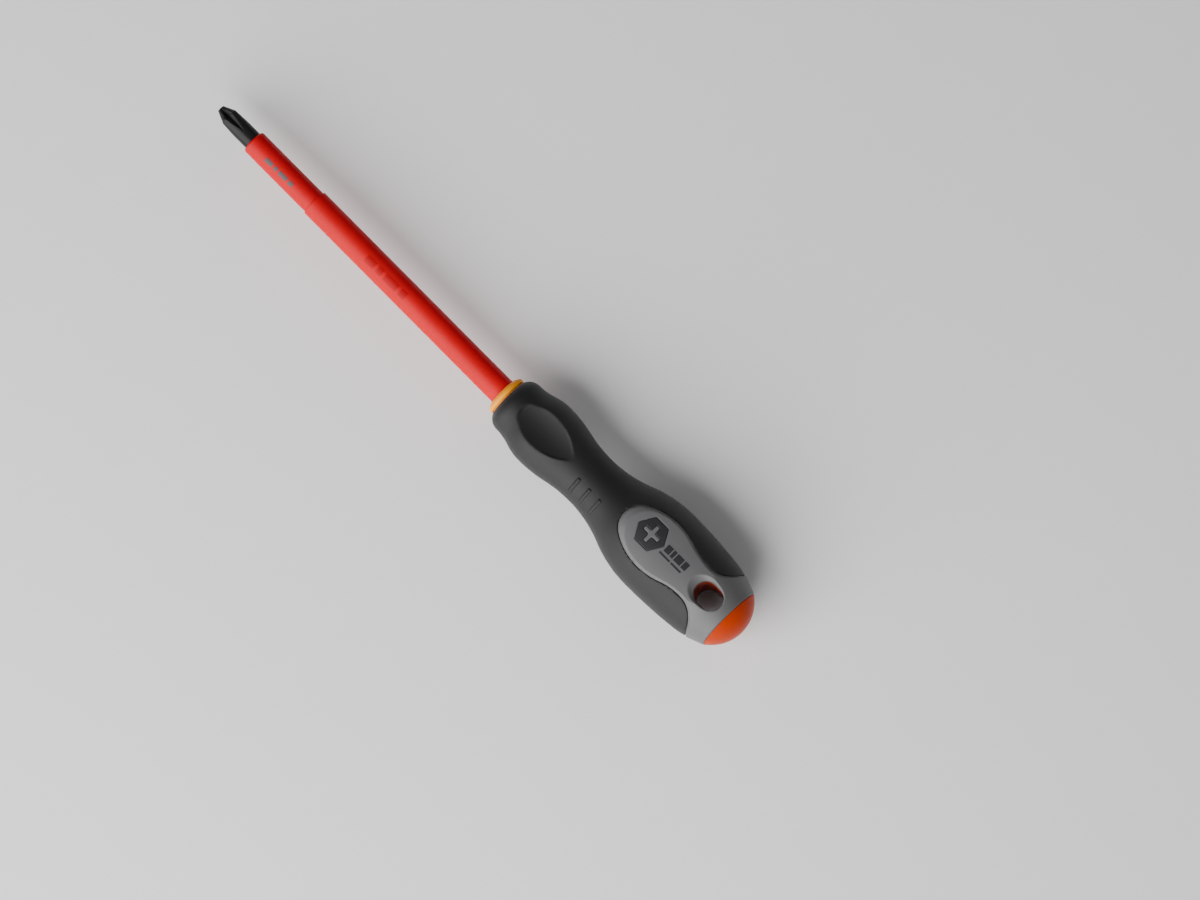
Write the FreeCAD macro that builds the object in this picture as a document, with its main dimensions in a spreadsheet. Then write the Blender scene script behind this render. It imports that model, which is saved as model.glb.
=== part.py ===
"""Insulated cross-tip screwdriver: blade, two red sleeves, core, grey shell, soft grip, badges.

Millimetres. X runs along the blade from the tip to the butt, X = 0 at the front face of the
orange collar, Z points out of the upper grey panel.
"""
import FreeCAD
import Part
import math
import os
import Sketcher

SIZES = [
    # blade
    ("blade_length", 150.0),
    ("rod_diameter", 7.5),
    ("tip_flat_diameter", 3.0),
    ("tip_cone_length", 4.6),
    ("flute_wheel_radius", 44.0),
    ("flute_root_radius", 1.15),
    ("flute_wheel_lead", 2.2),
    ("flute_depth", 7.0),
    ("flute_half_width", 7.25),
    ("tang_length", 94.0),
    ("tang_chamfer", 0.8),
    ("wing_start", 52.0),
    ("wing_length", 12.0),
    ("wing_span", 11.0),
    ("wing_thickness", 2.4),
    # red sleeves
    ("bare_length", 17.3),
    ("inner_sleeve_diameter", 9.7),
    ("inner_sleeve_nose", 0.9),
    ("inner_sleeve_seat", 16.0),
    ("outer_sleeve_diameter", 10.7),
    ("outer_sleeve_nose", 0.35),
    ("outer_sleeve_seat", 12.0),
    ("sleeve_step", 49.9),
    # orange core
    ("collar_length", 2.6),
    ("collar_cone", 1.1),
    ("collar_land", 1.05),
    ("collar_radius", 8.2),
    ("core_front_radius", 7.4),
    ("core_swell_start", 50.0),
    ("core_swell_end", 66.0),
    ("core_rear_radius", 12.5),
    ("core_neck_start", 106.0),
    ("core_neck_end", 112.0),
    ("core_tail_radius", 11.2),
    ("cap_start", 119.1),
    ("cap_length", 6.9),
    ("cap_inset", 0.1),
    # soft grip outline: stations along X and radii
    ("collar_gap", 0.4),
    ("nose_radius", 8.15),
    ("shoulder_at", 8.0),
    ("shoulder_radius", 11.4),
    ("front_swell_at", 22.0),
    ("front_swell_radius", 13.7),
    ("waist_at", 46.0),
    ("waist_radius", 11.0),
    ("rear_swell_at", 82.6),
    ("rear_swell_radius", 18.1),
    ("tail_at", 110.0),
    ("tail_drop", 1.75),
    ("tail_bend", 25.0),
    ("band_drop", 4.9),
    # grey shell
    ("panel_proud", 0.4),
    ("panel_sink", 1.7),
    ("panel_crown_span", 20.0),
    ("panel_crown_drop", 4.2),
    ("panel_tip", 65.0),
    ("panel_nose_radius", 8.3),
    ("panel_wide_at", 82.6),
    ("panel_half_width", 11.0),
    ("panel_neck_at", 102.0),
    ("panel_neck_half_width", 7.6),
    ("panel_flare", 10.0),
    ("panel_bevel", 1.0),
    # hanging hole
    ("hole_at", 109.3),
    ("hole_length", 11.9),
    ("hole_width", 9.3),
    ("hole_mouth_front", 3.0),
    ("hole_mouth_rear", 0.8),
    ("hole_mouth_side", 1.15),
    ("hole_mouth_depth", 1.6),
    # finger recess on both faces
    ("recess_start", 10.5),
    ("recess_nose_radius", 6.0),
    ("recess_wide_at", 20.4),
    ("recess_end", 38.1),
    ("recess_half_width", 7.35),
    ("recess_floor", 10.4),
    ("recess_floor_at", 20.0),
    ("recess_bow", 120.0),
    ("recess_dish", 20.0),
    # tactile ribs on the waist
    ("rib_first_at", 44.3),
    ("rib_pitch", 5.6),
    ("rib_width", 1.9),
    ("rib_slope", 0.35),
    ("rib_height", 0.45),
    # badges let into the panels
    ("badge_at", 78.2),
    ("badge_side", 1.2),
    ("badge_radius", 6.5),
    ("badge_depth", 1.6),
    ("badge_proud", 0.12),
    ("badge_slot_width", 1.7),
    ("badge_slot_length", 7.4),
]

RIB_START_ANGLE = 16.0
RIB_SWEEP = 40.0
RIB_COUNT = 3
FLUTE_COUNT = 4
REACH = 30.0

doc = FreeCAD.newDocument("InsulatedScrewdriver")
sheet = doc.addObject("Spreadsheet::Sheet", "Sizes")
for row, (name, value) in enumerate(SIZES, start=1):
    sheet.set("A%d" % row, name)
    sheet.set("B%d" % row, str(value))
    sheet.setAlias("B%d" % row, name)
doc.recompute()


class Measure:
    """A size with its number and the words that bind a feature to the sheet."""

    def __init__(self, number, words):
        self.number = float(number)
        self.words = words

    def join(self, sign, other, number):
        return Measure(number, "(%s %s %s)" % (self.words, sign, other.words))

    def __add__(self, other):
        other = measured(other)
        return self.join("+", other, self.number + other.number)

    def __sub__(self, other):
        other = measured(other)
        return self.join("-", other, self.number - other.number)

    def __mul__(self, other):
        other = measured(other)
        return self.join("*", other, self.number * other.number)

    def __truediv__(self, other):
        other = measured(other)
        return self.join("/", other, self.number / other.number)

    def __neg__(self):
        return Measure(-self.number, "(0 - %s)" % self.words)


def measured(value):
    if isinstance(value, Measure):
        return value
    return Measure(value, repr(float(value)))


class Sizes:
    """Every named size as a Measure, read as size.blade_length and so on."""


size = Sizes()
for name, value in SIZES:
    setattr(size, name, Measure(value, "Sizes.%s" % name))

# the tail, the butt band, the cap and the panels all follow the rear swell
tail_radius = size.rear_swell_radius - size.tail_drop
band_end_radius = size.rear_swell_radius - size.band_drop
cap_edge_radius = band_end_radius - size.cap_inset
panel_height = size.rear_swell_radius - size.panel_sink


# ------------------------------------------------------------------ helpers

def origin_part(body, role):
    for feature in body.Origin.OriginFeatures:
        if feature.Role == role:
            return feature
    raise RuntimeError("no %s in %s" % (role, body.Label))


def new_body(label):
    body = doc.addObject("PartDesign::Body", label)
    body.Label = label
    return body


def bind(feature, path, measure):
    """Ties one property of a feature to the sheet."""
    feature.setExpression(path, measured(measure).words)


def new_sketch(body, label, role="XY_Plane", shift=(0, 0, 0)):
    """A sketch on one of the body's own planes, moved by a measured shift."""
    sketch = doc.addObject("Sketcher::SketchObject", label)
    body.addObject(sketch)
    sketch.AttachmentSupport = [(origin_part(body, role), "")]
    sketch.MapMode = "FlatFace"
    numbers = [measured(value).number for value in shift]
    sketch.AttachmentOffset = FreeCAD.Placement(FreeCAD.Vector(*numbers), FreeCAD.Rotation())
    for axis, value in zip("xyz", shift):
        if isinstance(value, Measure):
            bind(sketch, "AttachmentOffset.Base.%s" % axis, value)
    return sketch


def fix_point(sketch, element, place, point):
    """Holds one end or centre of an element at measured coordinates; None leaves one free."""
    for value, kind, axis in ((point[0], "DistanceX", -2), (point[1], "DistanceY", -1)):
        if value is None:
            continue
        if not isinstance(value, Measure) and value == 0:
            sketch.addConstraint(Sketcher.Constraint("PointOnObject", element, place, axis))
            continue
        value = measured(value)
        rule = Sketcher.Constraint(kind, -1, 1, element, place, value.number)
        number = sketch.addConstraint(rule)
        bind(sketch, "Constraints[%d]" % number, value)


def arc_between(first, last, centre):
    """An arc shorter than half a turn, its centre known in one coordinate."""
    x0, y0 = [measured(value).number for value in first]
    x1, y1 = [measured(value).number for value in last]
    squares = x1 * x1 + y1 * y1 - x0 * x0 - y0 * y0
    if centre[1] is None:
        cx = measured(centre[0]).number
        cy = (squares - 2 * cx * (x1 - x0)) / (2 * (y1 - y0))
    else:
        cy = measured(centre[1]).number
        cx = (squares - 2 * cy * (y1 - y0)) / (2 * (x1 - x0))
    radius = math.hypot(x0 - cx, y0 - cy)
    start = math.atan2(y0 - cy, x0 - cx)
    end = math.atan2(y1 - cy, x1 - cx)
    forward = (x0 - cx) * (y1 - cy) - (y0 - cy) * (x1 - cx) > 0
    circle = Part.Circle(FreeCAD.Vector(cx, cy, 0), FreeCAD.Vector(0, 0, 1), radius)
    if forward:
        return Part.ArcOfCircle(circle, start, end), True
    return Part.ArcOfCircle(circle, end, start), False


def draw(sketch, start, steps):
    """Draws a closed outline. Each step is (point,) for a line or (point, centre) for an arc."""
    elements = []
    point = start
    for step in steps:
        target = step[0]
        ends = [FreeCAD.Vector(*[measured(value).number for value in spot], 0)
                for spot in (point, target)]
        if len(step) == 1:
            element = sketch.addGeometry(Part.LineSegment(*ends), False)
            elements.append((element, 1, 2))
        else:
            arc, forward = arc_between(point, target, step[1])
            element = sketch.addGeometry(arc, False)
            elements.append((element, 1, 2) if forward else (element, 2, 1))
        point = target
    corners = [start] + [step[0] for step in steps[:-1]]
    for index, (element, head, tail) in enumerate(elements):
        after, after_head, unused = elements[(index + 1) % len(elements)]
        sketch.addConstraint(Sketcher.Constraint("Coincident", element, tail, after, after_head))
        fix_point(sketch, element, head, corners[index])
        if len(steps[index]) == 2:
            fix_point(sketch, element, 3, steps[index][1])
    return elements


def s_curve(first, last):
    """Two equal arcs that leave one station level and arrive level at the next."""
    middle = ((first[0] + last[0]) / 2, (first[1] + last[1]) / 2)
    return [(middle, (first[0], None)), (last, (last[0], None))]


def revolve(body, sketch, label):
    turned = doc.addObject("PartDesign::Revolution", label)
    body.addObject(turned)
    turned.Profile = sketch
    turned.ReferenceAxis = (sketch, ["H_Axis"])
    turned.Angle = 360.0
    body.Tip = turned
    return turned


def pad(body, sketch, label, length):
    raised = doc.addObject("PartDesign::Pad", label)
    body.addObject(raised)
    raised.Profile = sketch
    raised.Length = measured(length).number
    if isinstance(length, Measure):
        bind(raised, "Length", length)
    body.Tip = raised
    return raised


def join_all(label, shapes):
    joined = doc.addObject("Part::MultiFuse", label)
    joined.Label = label
    joined.Shapes = shapes
    return joined


def overlap(label, shapes):
    shared = doc.addObject("Part::MultiCommon", label)
    shared.Label = label
    shared.Shapes = shapes
    return shared


def cut(label, base, tool):
    less = doc.addObject("Part::Cut", label)
    less.Label = label
    less.Base = base
    less.Tool = tool
    return less


def mirrored_down(label, source):
    """The same shape on the lower face, mirrored in the XY plane."""
    copy = doc.addObject("Part::Mirroring", label)
    copy.Label = label
    copy.Source = source
    copy.Base = FreeCAD.Vector(0, 0, 0)
    copy.Normal = FreeCAD.Vector(0, 0, 1)
    return copy


# ------------------------------------------------------------------ blade

rod_radius = size.rod_diameter / 2
blade = new_body("blade")
profile = new_sketch(blade, "BladeProfile", shift=(-size.blade_length, 0, 0))
blade_end = size.blade_length + size.tang_length
draw(profile, (0, 0), [
    ((0, size.tip_flat_diameter / 2),),
    ((size.tip_cone_length, rod_radius),),
    ((blade_end - size.tang_chamfer, rod_radius),),
    ((blade_end, rod_radius - size.tang_chamfer),),
    ((blade_end, 0),),
    ((0, 0),),
])
revolve(blade, profile, "BladeRod")

wings = new_sketch(blade, "WingOutline", shift=(0, 0, -size.wing_thickness / 2))
wing_end = size.wing_start + size.wing_length
draw(wings, (size.wing_start, -size.wing_span / 2), [
    ((wing_end, -size.wing_span / 2),),
    ((wing_end, size.wing_span / 2),),
    ((size.wing_start, size.wing_span / 2),),
    ((size.wing_start, -size.wing_span / 2),),
])
pad(blade, wings, "TangWings", size.wing_thickness)

wheel_place = -size.blade_length - size.flute_wheel_lead
wheel = new_sketch(blade, "FluteWheel", role="YZ_Plane", shift=(0, 0, wheel_place))
flute_top = size.flute_root_radius + size.flute_depth
draw(wheel, (0, size.flute_root_radius), [
    ((size.flute_half_width, flute_top),),
    ((-size.flute_half_width, flute_top),),
    ((0, size.flute_root_radius),),
])
axle_height = size.flute_root_radius + size.flute_wheel_radius
axle = wheel.addGeometry(Part.LineSegment(
    FreeCAD.Vector(-8, axle_height.number, 0), FreeCAD.Vector(8, axle_height.number, 0)), True)
fix_point(wheel, axle, 1, (-8.0, axle_height))
fix_point(wheel, axle, 2, (8.0, axle_height))
flute = doc.addObject("PartDesign::Groove", "Flute")
blade.addObject(flute)
flute.Profile = wheel
flute.ReferenceAxis = (wheel, ["Axis0"])
flute.Angle = 360.0
blade.Tip = flute
doc.recompute()
flutes = doc.addObject("PartDesign::PolarPattern", "Flutes")
blade.addObject(flutes)
flutes.Originals = [flute]
flutes.Axis = (origin_part(blade, "X_Axis"), [""])
flutes.Angle = 360.0
flutes.Occurrences = FLUTE_COUNT
blade.Tip = flutes

# ------------------------------------------------------------------ red sleeves


def sleeve(label, start, nose, seat, bore, outside):
    """A tube on the blade, measured from the tip, with a bevelled front edge."""
    body = new_body(label)
    ring = new_sketch(body, label + "_ring", shift=(-size.blade_length, 0, 0))
    end = size.blade_length + seat
    draw(ring, (start, bore), [
        ((start, outside - nose),),
        ((start + nose, outside),),
        ((end, outside),),
        ((end, bore),),
        ((start, bore),),
    ])
    revolve(body, ring, label + "_tube")
    return body


inner_radius = size.inner_sleeve_diameter / 2
outer_radius = size.outer_sleeve_diameter / 2
inner_sleeve = sleeve("insulation_inner", size.bare_length, size.inner_sleeve_nose,
                      size.inner_sleeve_seat, rod_radius, inner_radius)
outer_sleeve = sleeve("insulation_outer", size.sleeve_step, size.outer_sleeve_nose,
                      size.outer_sleeve_seat, inner_radius, outer_radius)

# ------------------------------------------------------------------ hanging hole


def oval(sketch, centre, half_length, half_width):
    """A long hole: two half circles joined by straight sides, drawn as four quarter arcs."""
    reach = half_length - half_width
    front = centre - reach
    rear = centre + reach
    draw(sketch, (front, half_width), [
        ((front - half_width, 0), (front, None)),
        ((front, -half_width), (front, None)),
        ((rear, -half_width),),
        ((rear + half_width, 0), (rear, None)),
        ((rear, half_width), (rear, None)),
        ((front, half_width),),
    ])


hole = new_body("HangingHole")
hole_sketch = new_sketch(hole, "HoleOutline", shift=(0, 0, -REACH))
oval(hole_sketch, size.hole_at, size.hole_length / 2, size.hole_width / 2)
pad(hole, hole_sketch, "HoleBore", 2 * REACH)

# the mouth widens from the bore to the panel face, more on the tip side
mouth = new_body("HoleMouth")
mouth_low = new_sketch(mouth, "MouthLow",
                       shift=(0, 0, panel_height - size.hole_mouth_depth))
oval(mouth_low, size.hole_at, size.hole_length / 2, size.hole_width / 2)
mouth_high = new_sketch(mouth, "MouthHigh",
                        shift=(0, 0, panel_height + size.hole_mouth_depth))
mouth_reach = (size.hole_mouth_front + size.hole_mouth_rear) / 2
mouth_centre = size.hole_at - (size.hole_mouth_front - size.hole_mouth_rear)
oval(mouth_high, mouth_centre, size.hole_length / 2 + mouth_reach * 2,
     size.hole_width / 2 + size.hole_mouth_side * 2)
funnel = doc.addObject("PartDesign::AdditiveLoft", "MouthFunnel")
mouth.addObject(funnel)
funnel.Profile = mouth_low
funnel.Sections = [mouth_high]
funnel.Ruled = True
mouth.Tip = funnel
lower_mouth = mirrored_down("LowerMouth", mouth)

# ------------------------------------------------------------------ orange core

core_shape = new_body("CoreShape")
core_sketch = new_sketch(core_shape, "CoreProfile")
core_low = (size.core_swell_start, size.core_front_radius)
core_high = (size.core_swell_end, size.core_rear_radius)
draw(core_sketch, (0, 0), [
    ((0, outer_radius + size.collar_land),),
    ((size.collar_cone, size.collar_radius),),
    ((size.collar_length, size.collar_radius),),
    ((size.collar_length, size.core_front_radius),),
    (core_low,),
    *s_curve(core_low, core_high),
    ((size.core_neck_start, size.core_rear_radius),),
    ((size.core_neck_end, size.core_tail_radius),),
    ((size.cap_start, size.core_tail_radius),),
    ((size.cap_start, cap_edge_radius),),
    ((size.cap_start + size.cap_length, 0), (None, 0)),
    ((0, 0),),
])
revolve(core_shape, core_sketch, "CoreTurned")
core_room = join_all("CoreRoom", [blade, inner_sleeve, outer_sleeve, hole])
handle_core = cut("handle_core", core_shape, core_room)

# ------------------------------------------------------------------ handle outline


def handle_outline(label, lift):
    """The turned outside of the handle, raised evenly by lift."""
    body = new_body(label)
    sketch = new_sketch(body, label + "Profile")
    front = size.collar_length + size.collar_gap
    shoulder = (size.shoulder_at, size.shoulder_radius + lift)
    swell = (size.front_swell_at, size.front_swell_radius + lift)
    waist = (size.waist_at, size.waist_radius + lift)
    rear = (size.rear_swell_at, size.rear_swell_radius + lift)
    tail = (size.tail_at, tail_radius + lift)
    draw(sketch, (front, 0), [
        ((front, size.nose_radius + lift),),
        (shoulder, (size.shoulder_at, None)),
        *s_curve(shoulder, swell),
        *s_curve(swell, waist),
        *s_curve(waist, rear),
        (tail, (size.rear_swell_at, None)),
        ((size.cap_start, band_end_radius + lift / 4),),
        ((size.cap_start, 0),),
        ((front, 0),),
    ])
    turned = revolve(body, sketch, label + "Turned")
    doc.recompute()
    names = []
    for number, edge in enumerate(turned.Shape.Edges, start=1):
        box = edge.BoundBox
        if abs(box.XMin - size.tail_at.number) < 0.01 and box.XLength < 0.01:
            names.append("Edge%d" % number)
    bend = doc.addObject("PartDesign::Fillet", label + "Bend")
    body.addObject(bend)
    bend.Base = (turned, names)
    bend.Radius = size.tail_bend.number
    bind(bend, "Radius", size.tail_bend)
    body.Tip = bend
    return body


grip_outside = handle_outline("GripOutside", measured(0.0))
shell_outside = handle_outline("ShellOutside", size.panel_proud)

# the grey zone seen from above: egg-shaped panel, neck, then a flare into the butt band
zone = new_body("GreyZone")
zone_sketch = new_sketch(zone, "ZoneOutline", shift=(0, 0, -REACH))
length = size.panel_wide_at - size.panel_tip
flank_radius = ((length * length - length * size.panel_nose_radius * 2
                 + size.panel_half_width * size.panel_half_width)
                / ((size.panel_half_width - size.panel_nose_radius) * 2))
nose_centre = size.panel_tip + size.panel_nose_radius
across = (size.panel_wide_at - nose_centre) / (flank_radius - size.panel_nose_radius)
upward = (flank_radius - size.panel_half_width) / (flank_radius - size.panel_nose_radius)
touch = (nose_centre - size.panel_nose_radius * across, size.panel_nose_radius * upward)
wide = (size.panel_wide_at, size.panel_half_width)
neck = (size.panel_neck_at, size.panel_neck_half_width)
flare = (size.panel_neck_at + size.panel_flare, size.panel_neck_half_width + size.panel_flare)


def flipped(point):
    return (point[0], -point[1])


neck_middle = ((wide[0] + neck[0]) / 2, (wide[1] + neck[1]) / 2)
draw(zone_sketch, (size.panel_tip, 0), [
    (touch, (nose_centre, None)),
    (wide, (wide[0], None)),
    *s_curve(wide, neck),
    (flare, (neck[0], None)),
    ((flare[0], REACH),),
    ((size.cap_start, REACH),),
    ((size.cap_start, -REACH),),
    ((flare[0], -REACH),),
    (flipped(flare),),
    (flipped(neck), (neck[0], None)),
    (flipped(neck_middle), (neck[0], None)),
    (flipped(wide), (wide[0], None)),
    (flipped(touch), (wide[0], None)),
    ((size.panel_tip, 0), (nose_centre, None)),
])
pad(zone, zone_sketch, "ZoneBlock", 2 * REACH)

# two crowned faces flatten the grey shell above and below


def crown_block(label, lift):
    """A long block whose upper and lower faces are gently crowned."""
    body = new_body(label)
    sketch = new_sketch(body, label + "Section", role="YZ_Plane")
    top = panel_height + lift
    edge = top - size.panel_crown_drop
    span = size.panel_crown_span
    draw(sketch, (-span, edge), [
        ((-span, -edge),),
        ((0, -top), (0, None)),
        ((span, -edge), (0, None)),
        ((span, edge),),
        ((0, top), (0, None)),
        ((-span, edge), (0, None)),
    ])
    pad(body, sketch, label + "Pad", size.cap_start + size.cap_length)
    return body


crown = crown_block("Crown", measured(0.0))
badge_crown = crown_block("BadgeCrown", size.badge_proud)
badge_outside = handle_outline("BadgeOutside", size.panel_proud + size.badge_proud)

# ------------------------------------------------------------------ badges


badge_blank = new_body("BadgeBlank")
badge_floor = panel_height - size.badge_depth
badge_sketch = new_sketch(badge_blank, "BadgeOutline", shift=(0, 0, badge_floor))
corners = []
for step in range(6):
    turn = math.radians(60.0 * step)
    if step % 3 == 0:
        corners.append((size.badge_at + size.badge_radius * math.cos(turn), size.badge_side))
    else:
        corners.append((size.badge_at + size.badge_radius * math.cos(turn),
                        size.badge_radius * math.sin(turn) + size.badge_side))
draw(badge_sketch, corners[0], [(corner,) for corner in corners[1:] + corners[:1]])
pad(badge_blank, badge_sketch, "BadgePlate", size.badge_depth * 2)

badge_cross = new_body("BadgeCross")
cross_sketch = new_sketch(badge_cross, "CrossOutline", shift=(0, 0, badge_floor))
arm = size.badge_slot_length / 2
half = size.badge_slot_width / 2
along = [(arm, half), (half, half), (half, arm), (-half, arm), (-half, half), (-arm, half)]
cross_corners = [(size.badge_at + x, size.badge_side + y) for x, y in along]
cross_corners += [(size.badge_at - x, size.badge_side - y) for x, y in along]
draw(cross_sketch, cross_corners[0],
     [(corner,) for corner in cross_corners[1:] + cross_corners[:1]])
pad(badge_cross, cross_sketch, "CrossPrism", size.badge_depth * 2)

badge_shape = cut("BadgeShape", badge_blank, badge_cross)
badge_upper = overlap("badge_upper", [badge_shape, badge_outside, badge_crown])
badge_lower = mirrored_down("badge_lower", badge_upper)
badge_shape_below = mirrored_down("BadgeShapeBelow", badge_shape)

# ------------------------------------------------------------------ grey shell

shell_block = overlap("ShellBlock", [shell_outside, zone])
doc.recompute()
zone_wall = Part.Compound([face for face in zone.Shape.Faces
                           if abs(face.normalAt(0, 0).z) < 0.5
                           and face.BoundBox.XMax < size.cap_start.number - 1.0])


def on_outline(edge):
    """True for an edge of the block that runs along the grip on the outer surface."""
    box = edge.BoundBox
    if box.XLength < 0.01 and box.YLength < 0.01:
        return False
    reach = edge.LastParameter - edge.FirstParameter
    spots = [edge.valueAt(edge.FirstParameter + share * reach) for share in (0.05, 0.5, 0.95)]
    return all(zone_wall.distToShape(Part.Vertex(spot))[0] < 0.001 for spot in spots)


shell_bevel = doc.addObject("Part::Chamfer", "ShellBevel")
shell_bevel.Label = "ShellBevel"
shell_bevel.Base = shell_block
shell_bevel.Edges = [(number, size.panel_bevel.number, size.panel_bevel.number)
                     for number, edge in enumerate(shell_block.Shape.Edges, start=1)
                     if on_outline(edge)]
shell_crowned = overlap("ShellCrowned", [shell_bevel, crown])
shell_room = join_all("ShellRoom", [core_shape, hole, mouth, lower_mouth, badge_shape,
                                    badge_shape_below])
grey_shell = cut("grey_shell", shell_crowned, shell_room)

# ------------------------------------------------------------------ soft grip

recess_plan = new_body("RecessPlan")
recess_sketch = new_sketch(recess_plan, "RecessOutline")
recess_reach = size.recess_wide_at - size.recess_start
recess_flank = ((recess_reach * recess_reach - recess_reach * size.recess_nose_radius * 2
                 + size.recess_half_width * size.recess_half_width)
                / ((size.recess_half_width - size.recess_nose_radius) * 2))
recess_centre = size.recess_start + size.recess_nose_radius
lean = recess_flank - size.recess_nose_radius
recess_touch = (recess_centre - size.recess_nose_radius * (size.recess_wide_at - recess_centre) / lean,
                size.recess_nose_radius * (recess_flank - size.recess_half_width) / lean)
recess_wide = (size.recess_wide_at, size.recess_half_width)
draw(recess_sketch, (size.recess_start, 0), [
    (recess_touch, (recess_centre, None)),
    (recess_wide, (recess_wide[0], None)),
    ((size.recess_end, 0), (recess_wide[0], None)),
    (flipped(recess_wide), (recess_wide[0], None)),
    (flipped(recess_touch), (recess_wide[0], None)),
    ((size.recess_start, 0), (recess_centre, None)),
])
pad(recess_plan, recess_sketch, "RecessPrism", REACH)

# the dished floor is part of a large ring that hangs over the grip
recess_dish = new_body("RecessDish")
dish_sketch = new_sketch(recess_dish, "DishProfile", role="XZ_Plane",
                         shift=(0, size.recess_floor + size.recess_dish, 0))


def dish_reach(place):
    run = place - size.recess_floor_at
    return size.recess_dish - run * run / (size.recess_bow * 2)


dish_front = size.recess_start - 3.0
dish_rear = size.recess_end + 3.0
draw(dish_sketch, (dish_front, 0), [
    ((dish_front, dish_reach(dish_front)),),
    ((size.recess_floor_at, size.recess_dish), (size.recess_floor_at, None)),
    ((dish_rear, dish_reach(dish_rear)), (size.recess_floor_at, None)),
    ((dish_rear, 0),),
    ((dish_front, 0),),
])
revolve(recess_dish, dish_sketch, "DishRing")
recess_upper = overlap("RecessUpper", [recess_plan, recess_dish])
recess_lower = mirrored_down("RecessLower", recess_upper)

waist_bend = (((size.rear_swell_at - size.waist_at) * (size.rear_swell_at - size.waist_at)
               + (size.rear_swell_radius - size.waist_radius)
               * (size.rear_swell_radius - size.waist_radius))
              / ((size.rear_swell_radius - size.waist_radius) * 4))


def rib(label, centre, turn):
    """A short raised rib that wraps part of the way round the waist."""
    body = new_body(label)
    body.Placement = FreeCAD.Placement(FreeCAD.Vector(0, 0, 0),
                                       FreeCAD.Rotation(FreeCAD.Vector(1, 0, 0), turn))
    sketch = new_sketch(body, label + "Section")
    run = centre - size.waist_at
    top = size.waist_radius + run * run / (waist_bend * 2) + size.rib_height
    low = top - size.rib_height - 0.6
    front = centre - size.rib_width / 2
    rear = centre + size.rib_width / 2
    draw(sketch, (front, low), [
        ((front + size.rib_slope, top),),
        ((rear - size.rib_slope, top),),
        ((rear, low),),
        ((front, low),),
    ])
    revolve(body, sketch, label + "Turned").Angle = RIB_SWEEP
    return body


ribs = []
for side, base_turn in (("Upper", 90.0), ("Lower", 270.0)):
    for number in range(RIB_COUNT):
        ribs.append(rib("Rib%s%d" % (side, number + 1), size.rib_first_at + size.rib_pitch * number,
                        base_turn + RIB_START_ANGLE))

grip_room = join_all("GripRoom", [core_shape, zone, recess_upper, recess_lower])
grip_plain = cut("GripPlain", grip_outside, grip_room)
grip_sleeve = join_all("grip_sleeve", [grip_plain] + ribs)
doc.recompute()

# ------------------------------------------------------------------ check and write

PARTS = [
    ("blade", blade),
    ("insulation_inner", inner_sleeve),
    ("insulation_outer", outer_sleeve),
    ("handle_core", handle_core),
    ("grey_shell", grey_shell),
    ("grip_sleeve", grip_sleeve),
    ("badge_upper", badge_upper),
    ("badge_lower", badge_lower),
]

for item in doc.Objects:
    if "Invalid" in item.State or "Error" in item.State:
        raise RuntimeError("%s did not build: %s" % (item.Label, item.State))

os.makedirs("parts", exist_ok=True)
for label, item in PARTS:
    shape = item.Shape
    if shape.isNull() or not shape.isValid() or len(shape.Solids) != 1:
        raise RuntimeError("%s is not one valid solid: %d" % (label, len(shape.Solids)))
    shape.exportStep("parts/%s.step" % label)
    print(label, round(shape.Volume, 1))
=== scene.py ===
import math

import bpy
from mathutils import Matrix, Vector


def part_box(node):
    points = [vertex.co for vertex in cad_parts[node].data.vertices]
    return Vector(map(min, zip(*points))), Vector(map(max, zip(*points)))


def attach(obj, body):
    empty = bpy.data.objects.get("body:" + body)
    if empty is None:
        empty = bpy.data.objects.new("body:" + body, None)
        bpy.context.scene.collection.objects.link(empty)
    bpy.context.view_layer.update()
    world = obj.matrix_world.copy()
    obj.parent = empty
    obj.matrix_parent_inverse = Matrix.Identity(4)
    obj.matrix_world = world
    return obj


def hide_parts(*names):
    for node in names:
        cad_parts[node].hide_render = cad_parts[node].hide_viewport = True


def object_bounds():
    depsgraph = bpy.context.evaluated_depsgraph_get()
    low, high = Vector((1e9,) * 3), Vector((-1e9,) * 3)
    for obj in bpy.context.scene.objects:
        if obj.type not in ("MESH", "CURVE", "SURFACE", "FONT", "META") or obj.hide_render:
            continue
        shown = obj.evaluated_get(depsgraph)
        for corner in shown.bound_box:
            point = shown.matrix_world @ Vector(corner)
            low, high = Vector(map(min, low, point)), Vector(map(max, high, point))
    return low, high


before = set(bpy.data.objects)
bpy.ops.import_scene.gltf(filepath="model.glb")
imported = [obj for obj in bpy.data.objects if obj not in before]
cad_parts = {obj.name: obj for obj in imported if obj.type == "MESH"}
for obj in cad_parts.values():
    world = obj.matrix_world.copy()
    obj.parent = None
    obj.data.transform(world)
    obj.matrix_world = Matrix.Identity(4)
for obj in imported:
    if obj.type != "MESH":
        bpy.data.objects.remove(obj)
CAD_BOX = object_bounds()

bl_info = {
    "name": "Insulated screwdriver",
    "version": (1, 0, 0),
    "blender": (4, 5, 0),
    "location": "View3D > Sidebar > Driver",
    "description": "Builds the visible pieces of an insulated screwdriver on its packed frame",
    "category": "Add Mesh",
}

MM = 0.001
FULL_TURN = 2.0 * math.pi
REACH = 30.0

# handle outline in millimetres: stations along X and the radius at each
NOSE = (3.0, 8.15)
SHOULDER = (8.0, 11.4)
FRONT_SWELL = (22.0, 13.7)
WAIST = (46.0, 11.0)
REAR_SWELL = (82.6, 18.1)
TAIL = (110.0, 16.35)
BAND_END = (119.1, 13.2)
TAIL_BEND = 2.65
CAP_END = 126.0
PANEL_PROUD = 0.4
PANEL_TOP = 16.4
CROWN_RADIUS = 49.7
CORE_FRONT = 7.4
CORE_REAR = 12.5
CORE_TAIL = 11.2

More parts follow.
